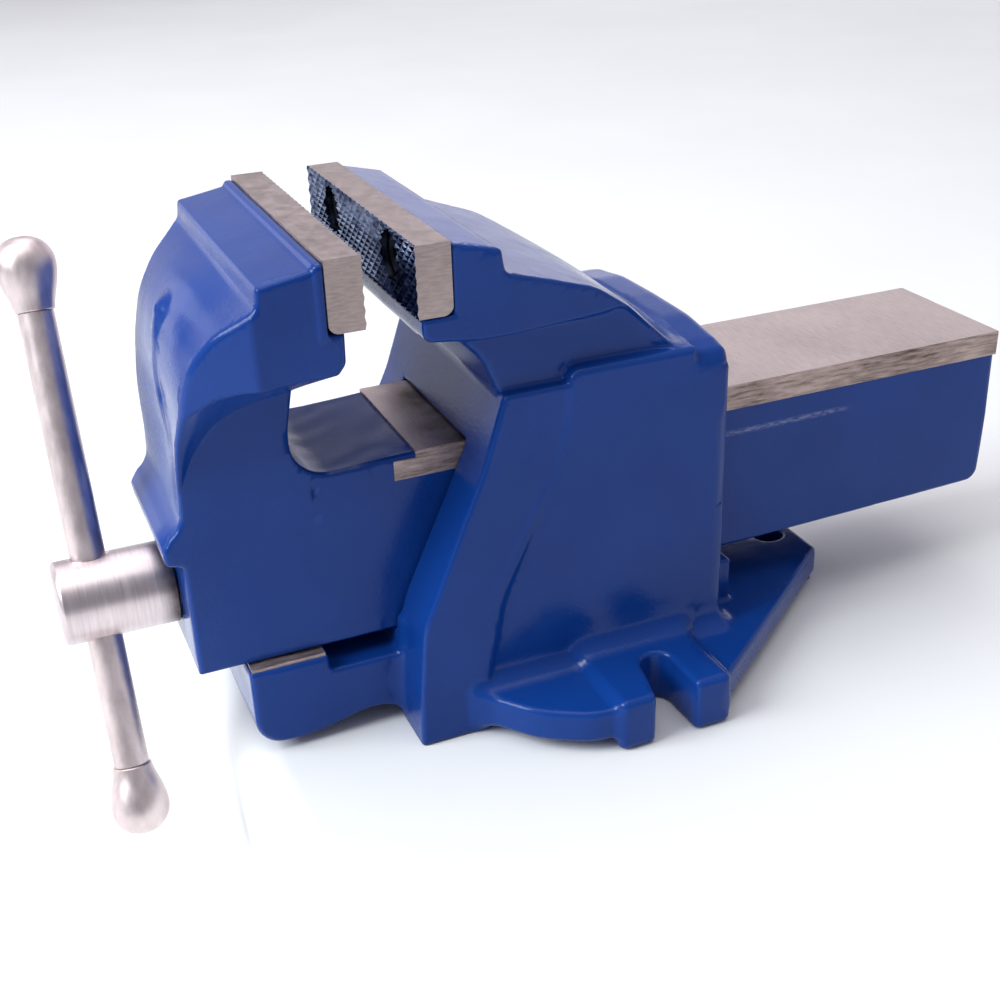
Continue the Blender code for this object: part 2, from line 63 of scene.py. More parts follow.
PLATE_LOW, PLATE_HIGH = node_box("fixed_jaw_plate")
MOVING_LOW, MOVING_HIGH = node_box("moving_jaw_plate")
SLIDE_HIGH = node_box("slide_casting")[1]
SCREW_LOW, SCREW_HIGH = node_box("main_screw")

HALF_JAW = PLATE_HIGH.x
JAW_TOP = PLATE_HIGH.z
PLATE_BOTTOM = PLATE_LOW.z
PLATE_THICKNESS = PLATE_HIGH.y - PLATE_LOW.y
FIXED_FACE_Y = PLATE_LOW.y
MOVING_FACE_Y = MOVING_HIGH.y
HEAD_FRONT_Y = SCREW_LOW.y
SCREW_END_Y = SCREW_HIGH.y
SCREW_HEIGHT = (SCREW_LOW.z + SCREW_HIGH.z) / 2
HEAD_RADIUS = (SCREW_HIGH.z - SCREW_LOW.z) / 2
BEAM_REAR_Y = SLIDE_HIGH.y

# ---------------------------------------------------------------- sizes repeated from the CAD

SLIDE_FRONT_Y = -136.4
BEAM_TOP = 91.0
BEAM_BOTTOM = 31.6
FLOOR_TOP = 31.3             # machined floor of the passage
HALF_STRIP = 26.8            # machined edges of the beam
HALF_BEAM = 26.6             # painted sides of the beam
HALF_SLIDE = 26.9            # painted sides of the slide's front block
HALF_PASSAGE = 27.2          # the hole in the body that the beam slides in
HALF_PANEL = 45.6
HALF_TONGUE = 31.0
HALF_LUG = 77.3
LUG_TOP = 17.9
SLOT_CENTRE_X = 61.0         # centre of a bolt slot's round end
SLOT_HALF_WIDTH = 5.3
SEAT_BOTTOM = 139.4          # underside of the steps that the jaw plates sit on
HALF_HOLLOW = 17.0           # the hollow inside the beam
HOLLOW_TOP = 78.0
TAIL_HOLE_Y = 80.0
NUT_BOLT_Y = -34.0
PASSAGE_TOP = 91.4
THROAT_FLOOR = 89.2
MACHINED_FROM_Y = -64.4
HOOD_REAR_Y = 31.8
SCREW_RADIUS = 11.0
BAR_RADIUS = 5.3
BAR_TILT = math.radians(20.3)
BAR_Y = HEAD_FRONT_Y + 11.5
BAR_AXIS = Vector((-math.sin(BAR_TILT), 0.0, math.cos(BAR_TILT)))
UPPER_ARM = 100.2
LOWER_ARM = 67.0
PLATE_SCREW_X = 27.0
PLATE_SCREW_Z = JAW_TOP - 8.5

VOXEL = 0.9
ADAPTIVITY = 0.008           # flat areas of the castings get larger faces
WAVINESS = 0.07
BODY_RANGE = ((-81, -128, -3), (81, 96, 163))
SLIDE_RANGE = ((-53, -146, 28), (53, 156, 162))


# ---------------------------------------------------------------- distance fields

def rounded(outline):
    """Turn (a, b) and (a, b, radius) points into plain points with arcs at the corners."""
    points = []
    count = len(outline)
    for index, corner in enumerate(outline):
        here = Vector(corner[:2])
        if len(corner) < 3:
            points.append(here)
            continue
        to_last = (Vector(outline[index - 1][:2]) - here).normalized()
        to_next = (Vector(outline[(index + 1) % count][:2]) - here).normalized()
        half_angle = to_last.angle(to_next) / 2
        radius = corner[2]
        steps = 5 if radius < 4 else 12
        reach = radius / math.tan(half_angle)
        middle = here + (to_last + to_next).normalized() * radius / math.sin(half_angle)
        start = here + to_last * reach - middle
        sweep = start.angle_signed(here + to_next * reach - middle)
        for step in range(steps + 1):
            points.append(middle + Matrix.Rotation(-sweep * step / steps, 2) @ start)
    return points


def mirrored(half):
    """Close a half outline (x >= 0) over the x = 0 line."""
    return half + [(-point[0], *point[1:]) for point in reversed(half)]


def outline_distance(a, b, outline):
    """Signed distance from points (a, b) to a closed outline, negative inside it."""
    points = rounded(outline)
    a, b = np.broadcast_arrays(a, b)
    nearest = np.full(a.shape, np.inf, dtype=np.float32)
    inside = np.zeros(a.shape, dtype=bool)
    for start, end in zip(points, points[1:] + points[:1]):
        edge = end - start
        if edge.length_squared == 0:
            continue
        along = ((a - start.x) * edge.x + (b - start.y) * edge.y) / edge.length_squared
        along = np.clip(along, 0, 1)
        gap = (a - start.x - along * edge.x) ** 2 + (b - start.y - along * edge.y) ** 2
        nearest = np.minimum(nearest, gap)
        if edge.y:
            crossing = (start.y > b) != (end.y > b)
            inside ^= crossing & (a < start.x + (b - start.y) * edge.x / edge.y)
    return np.where(inside, -1, 1).astype(np.float32) * np.sqrt(nearest)


def unite(first, second, radius=0.0):
    """Union of two fields, with a fillet of that radius where they meet."""
    if radius == 0:
        return np.minimum(first, second)
    corner = np.hypot(np.maximum(radius - first, 0), np.maximum(radius - second, 0))
    return np.maximum(radius, np.minimum(first, second)) - corner


def overlap(first, second, radius=0.0):
    """What lies in both fields, with its new edges rounded to that radius."""
    return -unite(-first, -second, radius)


def remove(first, second, radius=0.0):
    """The first field with the second cut out of it."""
    return -unite(-first, second, radius)


def slab(value, low, high):
    """The space between two parallel planes."""
    return np.maximum(low - value, value - high)


def block(x, y, z, low, high, radius=1.2):
    """A box between two corners, with rounded edges."""
    flat = overlap(slab(x, low[0], high[0]), slab(y, low[1], high[1]), radius)
    return overlap(flat, slab(z, low[2], high[2]), radius)


def smooth_table(pairs, width=8.0):
    """A smooth curve near the given (position, value) pairs, as a function."""
    step = 0.25
    places = np.arange(pairs[0][0] - width, pairs[-1][0] + width, step)
    values = np.interp(places, *zip(*pairs))
    window = np.hanning(int(width / step) | 1)
    reach = len(window) // 2
    values = np.convolve(np.pad(values, reach, mode="edge"), window / window.sum(), "valid")
    return lambda place: np.interp(place, places, values).astype(np.float32)


def wobble(x, y, z, size):
    """The slight waviness of a sand casting."""
    waves = np.sin(x / 8.3 + 1.3) * np.sin(y / 10.7 + 0.4) * np.sin(z / 9.1 + 2.1)
    return size * (waves + 0.5 * np.sin(x / 4.9 + y / 6.1) * np.sin(z / 5.3 - y / 7.7))


# ---------------------------------------------------------------- body casting

BODY_FRONT = [(-75.0, 0.0), (-74.2, 20.0), (-72.2, 41.0, 30.0), (-49.4, 89.6, 60.0),
              (-41.4, 107.0, 9.0), (-47.5, 121.5, 20.0), (-57.5, 131.2, 10.0),
              (-67.7, 133.6, 2.0)]
FIXED_SEAT_Y = PLATE_HIGH.y + 0.03
HEAD_TOP = [(FIXED_SEAT_Y, 159.2, 0.8), (-44.1, 155.6, 1.5), (-43.0, 148.7, 2.5),
            (-29.4, 144.4, 60.0), (-12.8, 138.6, 40.0), (-2.0, 132.2, 30.0), (6.0, 125.0, 20.0),
            (13.0, 119.2, 15.0), (26.0, 113.0)]
# How far the top falls from its middle to CROWN_SPAN on each side.
CROWN_SPAN = 42.0
CROWN = smooth_table([(-60, 0), (-14, 0), (5, 1.8), (13, 3.6), (19, 4.4), (40, 4.4)])


def jaw_block(x, y, z):
    """The wide end of the fixed jaw, whose end faces draw in towards the hood."""
    side = [(-67.7, SEAT_BOTTOM, 1.0), (-67.7, 133.0, 3.0), (-52.0, 130.8, 30.0),
            (-4.0, 130.4, 8.0), (6.0, 119.6, 8.0), (14.0, 109.0), (26.0, 107.0)]
    side += HEAD_TOP[::-1] + [(FIXED_SEAT_Y, SEAT_BOTTOM)]
    half_width = smooth_table([(-80, 50), (-41, 49.9), (-29.4, 48.1), (-12.8, 45.6), (-1, 44.4),
                               (12, 43.8), (40, 43.6)])
    top = outline_distance(y, z, side) + CROWN(y) * (x / CROWN_SPAN) ** 2
    return overlap(top, np.abs(x) - half_width(y), 1.0)


def neck(x, y, z):
    """The narrower middle of the body under the crown: its front is the concave throat."""
    side = [(-36.0, 60.0), (-36.0, 100.0), (-41.2, 106.4, 2.0), (-47.5, 121.5, 20.0),
            (-57.5, 131.2, 10.0), (-64.5, 133.4), (-60.0, 150.0), (-44.0, 145.5), (-29.0, 141.0),
            (-13.0, 135.2), (-2.0, 128.8), (6.0, 121.6), (14.0, 115.0), (24.0, 109.0),
            (24.0, 60.0)]
    half_width = smooth_table([(-80, 43.0), (-50, 41.5), (-40, 40.5), (0, 40.3), (14, 41.2),
                               (40, 42.5)])
    return overlap(outline_distance(y, z, side), np.abs(x) - half_width(y), 2.2)


def hood(x, y, z):
    """The raised band round the back of the body."""
    front_view = mirrored([(HALF_PANEL, 96.0), (HALF_PANEL, 109.0, 3.0), (43.8, 112.6, 3.0),
                           (38.0, 114.3, 8.0), (22.0, 116.6, 40.0), (0.0, 117.0)])
    return overlap(outline_distance(x, z, front_view), slab(y, 17.6, HOOD_REAR_Y - 0.1), 3.4)


def panel(x, y, z):
    """The box that the beam slides in, as it shows on each side behind the legs."""
    side = [(-22.0, 114.9, 3.5), (20.0, 114.9, 1.0), (21.0, 108.5), (HOOD_REAR_Y, 107.5, 1.0),
            (HOOD_REAR_Y, 0.0), (-58.0, 0.0), (-58.0, 20.2, 30.0), (-50.5, 47.7, 40.0),
            (-39.5, 65.9, 30.0), (-28.2, 84.2, 40.0), (-23.0, 99.7, 30.0)]
    half_width = HALF_PANEL + 0.9 * (1 - z / 115.0)
    return overlap(outline_distance(y, z, side), np.abs(x) - half_width, 2.0)


def legs(x, y, z):
    """Ribbons down the front edge that flare to the feet."""
    side = BODY_FRONT[:4] + [(-42.3, 110.6, 1.0), (-20.5, 110.6), (-21.5, 99.0, 30.0),
                             (-35.8, 65.0, 60.0), (-45.5, 46.0, 40.0), (-51.6, 18.0),
                             (-52.0, 0.0)]
    half_width = smooth_table([(0, 48.0), (20, 47.7), (46, 47.2), (59, 46.5), (90, 45.0),
                               (112, 44.4)])
    return overlap(outline_distance(y, z, side), np.abs(x) - half_width(z), 1.4)


def flange(x, y, z):
    """The flat foot, rounded in front and tapering towards the tail."""
    half = [(0.0, -58.0), (48.0, -57.0), (57.0, -50.0), (65.5, -43.3, 30.0), (74.0, -29.5, 20.0),
            (75.2, -20.0), (75.2, 17.0, 2.0), (73.0, 19.0), (16.0, 90.8, 3.0), (0.0, 90.8)]
    plan = half + [(-point[0], *point[1:]) for point in reversed(half[1:-1])]
    return overlap(outline_distance(x, y, plan), slab(z, 4.0, 15.0), 2.0)


def lugs(x, y, z):
    """Raised pads round the bolt slots, down to the bench."""
    return block(np.abs(x), y, z, (30.0, -21.0, 0.0), (HALF_LUG, 18.0, LUG_TOP), 2.6)


def bolt_slots(x, y, z):
    """Open slots: round inner end, straight rear wall, front wall opening outwards."""
    outwards = np.abs(x) - SLOT_CENTRE_X
    round_end = np.hypot(outwards, y) - SLOT_HALF_WIDTH
    front_wall = -(y + SLOT_HALF_WIDTH) * 0.974 - outwards * 0.226
    mouth = np.maximum(np.maximum(y - SLOT_HALF_WIDTH, front_wall), -outwards)
    return np.minimum(round_end, mouth) + 0 * z


def tongue(x, y, z):
    """The nose under the slide, notched behind its machined pad."""
    side = [(-122.5, 30.4, 1.0), (-122.5, 3.4, 9.0), (-104.0, 3.0, 30.0), (-84.0, 8.0, 20.0),
            (-74.0, 4.0, 3.0), (-50.0, 4.0), (-50.0, 36.0), (-73.4, 36.0), (-74.4, 25.0, 2.0),
            (-97.3, 25.0, 1.5), (-97.8, 30.4, 0.8)]
    return overlap(outline_distance(y, z, side), np.abs(x) - HALF_TONGUE, 1.6)


def upright_hole(x, y, z, centre_y, radius):
    """A bolt hole through the foot or the passage's floor."""
    return np.maximum(np.hypot(x, y - centre_y) - radius, z - 40.0)


def foot(x, y, z):
    """The flange with its lugs, the tail's pad and the step behind the passage."""
    base = unite(flange(x, y, z), lugs(x, y, z), 2.5)
    base = unite(base, block(x, y, z, (-40, -21, 0), (40, 18, 12)))
    base = unite(base, block(x, y, z, (-15, 62, 0), (15, 90.4, 8)))
    return unite(base, block(x, y, z, (-34.4, 20, 4), (34.4, 42.6, FLOOR_TOP - 0.3)), 2.0)


def body_outside(x, y, z):
    """The body before it is machined and drilled."""
    box = unite(panel(x, y, z), foot(x, y, z), 8.0)
    box = unite(box, legs(x, y, z), 1.5)
    box = unite(box, tongue(x, y, z), 4.0)
    shape = unite(neck(x, y, z), jaw_block(x, y, z), 4.0)
    shape = unite(shape, box, 1.4)
    shape = unite(shape, hood(x, y, z), 0.7)
    return shape + wobble(x, y, z, WAVINESS)


def body_shape(x, y, z):
    """The whole body, with its plate seat, passage, core pocket, slots and holes."""
    seat = block(x, y, z, (-60, -90, PLATE_BOTTOM - 0.05), (60, FIXED_SEAT_Y, 170), 0.0)
    shape = remove(body_outside(x, y, z), seat, 0.3)
    passage = block(x, y, z, (-HALF_PASSAGE, -97.4, FLOOR_TOP), (HALF_PASSAGE, 90, PASSAGE_TOP), 0)
    shape = remove(shape, passage, 1.2)
    shape = remove(shape, block(x, y, z, (-22, -112, -9), (22, -22, 20), 4.0), 1.2)
    shape = remove(shape, bolt_slots(x, y, z), 1.6)
    shape = remove(shape, upright_hole(x, y, z, TAIL_HOLE_Y, 5.5), 1.0)
    return remove(shape, upright_hole(x, y, z, NUT_BOLT_Y, 5.3))


# ---------------------------------------------------------------- slide casting

MOVING_SEAT_Y = MOVING_LOW.y - 0.03
JAW_SIDE = [(MOVING_SEAT_Y, SEAT_BOTTOM), (MOVING_SEAT_Y, 158.7, 0.5), (-95.9, 158.6, 0.8),
            (-97.0, 157.4, 1.5), (-111.4, 155.0, 1.2), (-112.0, 149.4, 3.5),
            (-121.4, 140.7, 40.0), (-127.3, 132.8, 30.0), (-131.9, 121.5, 50.0),
            (-134.5, 108.6, 60.0), (-135.4, 81.5, 9.0), (-139.2, 78.4, 2.0),
            (-141.6, 74.8, 2.2), (-141.2, 70.0, 1.8), (SLIDE_FRONT_Y, 68.8, 1.8),
            (SLIDE_FRONT_Y, BEAM_BOTTOM), (-78.0, BEAM_BOTTOM), (-78.0, THROAT_FLOOR),
            (-101.6, THROAT_FLOOR, 11.0), (-101.8, 104.0, 30.0), (-99.0, 118.5, 10.0),
            (-89.2, 130.5, 3.0), (-88.9, SEAT_BOTTOM)]
# Height at which the jaw starts to widen, and how fast it widens above that.
SCOOP_BOTTOM = smooth_table([(-145, 84), (-135, 90), (-132.3, 96.7), (-131.3, 100.2),
                             (-127.1, 106.4), (-123.5, 110.5), (-117.5, 113.8), (-108.8, 116),
                             (-99.5, 116.9), (-80, 117.2)])
SCOOP_SLOPE = smooth_table([(-145, 0.12), (-135, 0.2), (-133, 0.3), (-130, 0.55), (-126, 0.85),
                            (-120, 1.3), (-112, 1.9), (-80, 2.1)])
# How far the jaw's front stands out midway between its edges: dished low down, crowned above.
FRONT_SWELL = smooth_table([(76, 0), (84, -1.0), (91, -2.8), (100, -3.4), (112, -2.2), (122, 0.6),
                            (131, 2.4), (140, 3.5), (170, 3.5)])
# FRONT_ONLY keeps that to the front, and FRONT_SPAN is how far it reaches to each side.
FRONT_ONLY = smooth_table([(-150, 1), (-121, 1), (-112, 0), (-80, 0)])
FRONT_SPAN = smooth_table([(76, 28), (100, 30), (115, 40), (130, 62), (170, 66)])


def jaw_half_width(y, z):
    """Half-width of the moving jaw: end face, scooped front corner and sloping underside."""
    scoop = 50.0 - 0.78 * np.maximum(-112.4 - y, 0)
    underside = HALF_SLIDE + SCOOP_SLOPE(y) * np.maximum(z - SCOOP_BOTTOM(y), 0)
    return np.maximum(np.minimum(np.minimum(scoop, 49.4), underside), HALF_SLIDE)


def jaw(x, y, z):
    """The moving jaw and the slide's front block."""
    side = outline_distance(y, z, JAW_SIDE)
    inwards = np.maximum(1 - (x / FRONT_SPAN(z)) ** 2, 0) ** 2
    side = side - FRONT_SWELL(z) * FRONT_ONLY(y) * inwards
    width = (np.abs(x) - jaw_half_width(y, z)) * 0.8
    return overlap(side, width, 1.3)


def front_rib(x, y, z):
    """A low rib with a rounded head down the middle of the jaw's front."""
    along = np.clip(z, 88.0, 136.5)
    centre_y = smooth_table([(80, -127.4), (91.6, -128.2), (98.7, -128.8), (104.3, -129.6),
                             (112, -130.3), (120, -129.9), (130.7, -127.9), (139, -125.4)])(along)
    radius = smooth_table([(80, 2.6), (125, 2.9), (133, 3.8), (137, 4.2), (150, 4.2)], 5)(z)
    return np.sqrt((x * 0.85) ** 2 + (y - centre_y) ** 2 + (z - along) ** 2) - radius


def beam(x, y, z):
    """The beam behind the throat, under its machined strip."""
    side = [(-84.0, BEAM_BOTTOM), (60.0, BEAM_BOTTOM, 60.0), (BEAM_REAR_Y - 1.0, 33.6, 5.0),
            (BEAM_REAR_Y - 0.2, 60.0, 10.0), (BEAM_REAR_Y - 0.6, 83.0), (BEAM_REAR_Y - 0.6, 90.2),
            (MACHINED_FROM_Y - 1.0, 90.2, 2.0), (-81.0, THROAT_FLOOR + 0.2, 6.0),
            (-84.0, THROAT_FLOOR)]
    return overlap(outline_distance(y, z, side), np.abs(x) - HALF_BEAM, 1.2)


def throat_lumps(x, y, z):
    """Lumps of thick paint dried on the throat's floor."""
    ripple = np.sin(x / 1.9 + 1.7 * np.sin(y / 6.5)) * np.sin(y / 7.9 + x / 11.0 + 0.8)
    along = np.clip((y + 100.0) / 5, 0, 1) * np.clip((-60.0 - y) / 5, 0, 1)
    up = np.clip((z - 87.0) / 2, 0, 1) * np.clip((100.0 - z) / 4, 0, 1)
    return 0.11 * ripple * along * up * np.clip((26.0 - np.abs(x)) / 3, 0, 1)


def side_marks(x, y, z):
    """A short upright nick in the paint on each side, under the throat."""
    past_end = z - np.clip(z, 75.0, 85.0)
    return np.sqrt((np.abs(x) - HALF_SLIDE) ** 2 + (y + 96.0) ** 2 + past_end ** 2) - 0.4


def slide_shape(x, y, z):
    """The whole slide, with its plate seat, hollow and screw bore."""
    shape = unite(jaw(x, y, z), front_rib(x, y, z), 2.0)
    seat_band = block(x, y, z, (-49.95, -95.9, 138.5), (49.95, MOVING_SEAT_Y, 158.6), 0.8)
    shape = unite(shape, seat_band, 1.2)
    shape = unite(shape, beam(x, y, z))
    shape = shape + wobble(x, y, z, WAVINESS) + throat_lumps(x, y, z)
    seat = block(x, y, z, (-60, MOVING_SEAT_Y, PLATE_BOTTOM - 0.05), (60, -60, 170), 0)
    shape = remove(shape, seat, 0.3)
    hollow = block(x, y, z, (-HALF_HOLLOW, -114, 0), (HALF_HOLLOW, BEAM_REAR_Y + 20, HOLLOW_TOP),
                   3.0)
    shape = remove(shape, hollow, 1.2)
    bore = np.hypot(x, z - SCREW_HEIGHT) - SCREW_RADIUS - 0.4
    shape = remove(shape, np.maximum(bore + 0 * y, y + 100.0), 0.8)
    return remove(shape, side_marks(x, y, z), 0.6)


# ---------------------------------------------------------------- making pieces

def add_piece(name, mesh, material, body, replaces=()):
    """Make a mesh a piece of the vise that moves with a body."""
    piece = bpy.data.objects.new(name, mesh)
    bpy.context.collection.objects.link(piece)
    mesh.materials.clear()
    mesh.materials.append(material)
    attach(piece, body)
    if replaces:
        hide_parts(*replaces)
    return piece


def value_and_slope(shape, points, reach):
    """A distance field and its slope at an array of points."""
    value = shape(*points.T)
    slope = [shape(*(points + offset).T) - value for offset in np.eye(3) * reach]
    return value, np.stack(slope, axis=1) / reach


def cast_mesh(name, shape, low, high):
    """Mesh of a distance field's surface inside the given box."""
    axes = [np.arange(a, b + VOXEL, VOXEL, dtype=np.float32) for a, b in zip(low, high)]
    field = shape(*np.ix_(*axes)).astype(np.float32)
    band = 3 * VOXEL
    grid = openvdb.FloatGrid(band)
    grid.copyFromArray(np.clip(field, -band, band))
    points, triangles, quads = grid.convertToPolygons(isovalue=0.0, adaptivity=ADAPTIVITY)
    points = (points * VOXEL + np.array(low)).astype(np.float32)
    for _ in range(2):
        value, slope = value_and_slope(shape, points, 0.1)
        step = value / np.maximum((slope ** 2).sum(axis=1), 0.25)
        points -= np.clip(step, -VOXEL / 2, VOXEL / 2)[:, None] * slope
    mesh = bpy.data.meshes.new(name)
    mesh.from_pydata((points * MM).tolist(), [], quads.tolist() + triangles.tolist())
    mesh.shade_smooth()
    slope = value_and_slope(shape, points - 0.25, 0.5)[1]
    normals = slope / np.maximum(np.linalg.norm(slope, axis=1), 1e-6)[:, None]
    mesh.normals_split_custom_set_from_vertices(normals.tolist())
    return mesh


def finish_bmesh(name, bm, smooth_angle=35):
    """Turn a bmesh into a mesh, smooth except at edges sharper than an angle in degrees."""
    bmesh.ops.remove_doubles(bm, verts=bm.verts, dist=1e-7)
    bmesh.ops.recalc_face_normals(bm, faces=bm.faces)
    mesh = bpy.data.meshes.new(name)
    bm.to_mesh(mesh)
    bm.free()
    mesh.shade_smooth()
    mesh.set_sharp_from_angle(angle=math.radians(smooth_angle))
    return mesh


def turned_bmesh(profile, start, direction, sides=96):
    """Turn (distance, radius) points about the axis that leaves start along direction."""
    axis = Vector(direction).normalized()
    across = axis.orthogonal().normalized()
    spokes = [Matrix.Rotation(2 * math.pi * side / sides, 3, axis) @ across
              for side in range(sides)]
    bm = bmesh.new()
    rings = []
    for distance, radius in profile:
        centre = Vector(start) + axis * distance
        if radius == 0:
            rings.append([bm.verts.new(centre * MM)])
        else:
            rings.append([bm.verts.new((centre + spoke * radius) * MM) for spoke in spokes])
    for first, second in zip(rings, rings[1:]):
        for side in range(sides):
            after = (side + 1) % sides
            corners = [first[side % len(first)], first[after % len(first)],
                       second[after % len(second)], second[side % len(second)]]
            bm.faces.new(list(dict.fromkeys(corners)))
    for ring in (rings[0], rings[-1]):
        if len(ring) > 1:
            bm.faces.new(ring)
    return bm


def turned_mesh(name, profile, start, direction, sides=96):
    """A finished mesh of a turned shape."""
    return finish_bmesh(name, turned_bmesh(profile, start, direction, sides))


def prism_mesh(name, outline, low, high, bevel=0.0):
    """An outline in (y, z), extruded along X, with its edges bevelled."""
    points = rounded(outline)
    bm = bmesh.new()
    ends = [[bm.verts.new(Vector((x, a, b)) * MM) for a, b in points] for x in (low, high)]
    bm.faces.new(ends[0])
    bm.faces.new(list(reversed(ends[1])))
    for index in range(len(points)):
        after = (index + 1) % len(points)
        bm.faces.new((ends[0][after], ends[0][index], ends[1][index], ends[1][after]))
    if bevel:
        sharp = [edge for edge in bm.edges if edge.calc_face_angle(0) > math.radians(30)]
        bmesh.ops.bevel(bm, geom=sharp, offset=bevel * MM, segments=2, affect="EDGES",
                        clamp_overlap=True)
    return finish_bmesh(name, bm)


def carve(mesh, *cutters):
    """Cut meshes out of a mesh and keep only the result."""
    target = bpy.data.objects.new("carve_target", mesh)
    bpy.context.collection.objects.link(target)
    tools = []
    for cutter in cutters:
        tool = bpy.data.objects.new("carve_tool", cutter)
        bpy.context.collection.objects.link(tool)
        tools.append(tool)
        modifier = target.modifiers.new("carve", "BOOLEAN")
        modifier.operation = "DIFFERENCE"
        modifier.object = tool
        modifier.solver = "EXACT"
    result = bpy.data.meshes.new_from_object(
        target.evaluated_get(bpy.context.evaluated_depsgraph_get()))
    result.name = mesh.name
    for item in [target] + tools:
        bpy.data.objects.remove(item)
    result.shade_smooth()
    result.set_sharp_from_angle(angle=math.radians(30))
    return result


# ---------------------------------------------------------------- materials

def new_material(name):
    """A node material, its tree and its shader."""
    material = bpy.data.materials.new(name)
    material.use_nodes = True
    tree = material.node_tree
    return material, tree, tree.nodes["Principled BSDF"]


def add_node(tree, kind, **values):
    """Add a node and set its inputs or settings by name."""
    node = tree.nodes.new(kind)
    for name, value in values.items():
        if name in node.inputs:
            node.inputs[name].default_value = value
        else:
            setattr(node, name, value)
    return node


def object_noise(tree, scale, detail=3.0, stretch=(1, 1, 1), roughness=0.5):
    """Noise over the object's own coordinates, in metres, stretched along chosen axes."""
    place = add_node(tree, "ShaderNodeTexCoord")
    mapping = add_node(tree, "ShaderNodeMapping", Scale=stretch)
    noise = add_node(tree, "ShaderNodeTexNoise", Scale=scale, Detail=detail, Roughness=roughness)
    tree.links.new(place.outputs["Object"], mapping.inputs["Vector"])
    tree.links.new(mapping.outputs["Vector"], noise.inputs["Vector"])
    return noise.outputs["Fac"]


def ramp(tree, source, stops):
    """A colour ramp from (position, colour) stops."""
    node = add_node(tree, "ShaderNodeValToRGB")
    while len(node.color_ramp.elements) < len(stops):
        node.color_ramp.elements.new(0.5)
    for element, (position, color) in zip(node.color_ramp.elements, stops):
        element.position = position
        element.color = (*color, 1.0)
    tree.links.new(source, node.inputs["Fac"])
    return node.outputs["Color"]


def spread(tree, source, low, high, from_low=0.3, from_high=0.7):
    """Stretch a value from one range to another."""
    node = add_node(tree, "ShaderNodeMapRange")
    node.inputs["From Min"].default_value = from_low
    node.inputs["From Max"].default_value = from_high
    node.inputs["To Min"].default_value = low
    node.inputs["To Max"].default_value = high
    tree.links.new(source, node.inputs["Value"])
    return node.outputs["Result"]


def bump(tree, height, distance, below=None):
    """A bump of that depth in metres, on top of another one if given."""
    node = add_node(tree, "ShaderNodeBump", Strength=1.0, Distance=distance)
    tree.links.new(height, node.inputs["Height"])
    if below:
        tree.links.new(below, node.inputs["Normal"])
    return node.outputs["Normal"]


def axis_band(tree, axis, low, high, soft):
    """1 between two places along an object axis, in millimetres, and 0 outside them."""
    place = add_node(tree, "ShaderNodeTexCoord")
    parts = add_node(tree, "ShaderNodeSeparateXYZ")
    tree.links.new(place.outputs["Object"], parts.inputs["Vector"])
    rise = spread(tree, parts.outputs[axis], 0, 1, (low - soft) * MM, (low + soft) * MM)
    fall = spread(tree, parts.outputs[axis], 1, 0, (high - soft) * MM, (high + soft) * MM)
    return multiply(tree, rise, fall)


def multiply(tree, first, second):
    """The product of two values."""
    node = add_node(tree, "ShaderNodeMath", operation="MULTIPLY")
    tree.links.new(first, node.inputs[0])
    tree.links.new(second, node.inputs[1])
    return node.outputs["Value"]


def blend_colors(tree, amount, first, second):
    """Mix two colours, of which the second is constant, by an amount from 0 to 1."""
    node = add_node(tree, "ShaderNodeMix", data_type="RGBA")
    tree.links.new(amount, node.inputs["Factor"])
    tree.links.new(first, node.inputs["A"])
    for item in node.inputs:
        if item.name == "B" and item.type == "RGBA":
            item.default_value = (*second, 1.0)
    return node.outputs["Result"]


def make_paint(name, rubbed=False):
    """Thick gloss enamel, a little uneven over the sand-cast iron."""
    material, tree, shader = new_material(name)
    color = ramp(tree, object_noise(tree, 22.0), [(0.3, (0.003, 0.032, 0.190)),
                                                 (0.7, (0.005, 0.042, 0.232))])
    if rubbed:
        line = multiply(tree, axis_band(tree, "Z", 73.2, 74.6, 0.6),
                        axis_band(tree, "Y", 34.0, 88.0, 6.0))
        specks = spread(tree, object_noise(tree, 1500.0, 4.0, (1, 0.25, 1)), 0.1, 0.7, 0.40, 0.62)
        color = blend_colors(tree, multiply(tree, line, specks), color, (0.25, 0.28, 0.45))
    tree.links.new(color, shader.inputs["Base Color"])
    tree.links.new(spread(tree, object_noise(tree, 90.0), 0.13, 0.22),
                   shader.inputs["Roughness"])
    shader.inputs["Specular IOR Level"].default_value = 0.22
    waves = bump(tree, object_noise(tree, 95.0, 1.0), 0.00010)
    peel = bump(tree, object_noise(tree, 900.0, 2.0), 0.00006, below=waves)
    tree.links.new(peel, shader.inputs["Normal"])
    return material


def make_steel(name, dark, light, rough, grain, grain_scale=260.0, depth=0.00006, dark_band=None):
    """Bare steel whose fine marks run along one axis; grain stretches the noise.

    The last argument is (axis, low, high, soft) in millimetres: between low and high along that
    axis the steel is darker, in patches.
    """
    material, tree, shader = new_material(name)
    marks = object_noise(tree, grain_scale, 6.0, grain, 0.65)
    tint = object_noise(tree, 30.0, 4.0)
    blend = add_node(tree, "ShaderNodeMix", data_type="FLOAT")
    blend.inputs["Factor"].default_value = 0.28
    tree.links.new(marks, blend.inputs["A"])
    tree.links.new(tint, blend.inputs["B"])
    color = ramp(tree, blend.outputs["Result"], [(0.34, dark), (0.62, light)])
    if dark_band:
        # Darker, in patches, inside the band.
        patches = spread(tree, object_noise(tree, 70.0, 5.0), 0.2, 0.9, 0.35, 0.65)
        amount = multiply(tree, axis_band(tree, *dark_band), patches)
        color = blend_colors(tree, amount, color, (0.065, 0.045, 0.038))
    tree.links.new(color, shader.inputs["Base Color"])
    tree.links.new(spread(tree, marks, *rough), shader.inputs["Roughness"])
    tree.links.new(bump(tree, marks, depth), shader.inputs["Normal"])
    shader.inputs["Metallic"].default_value = 1.0
    return material


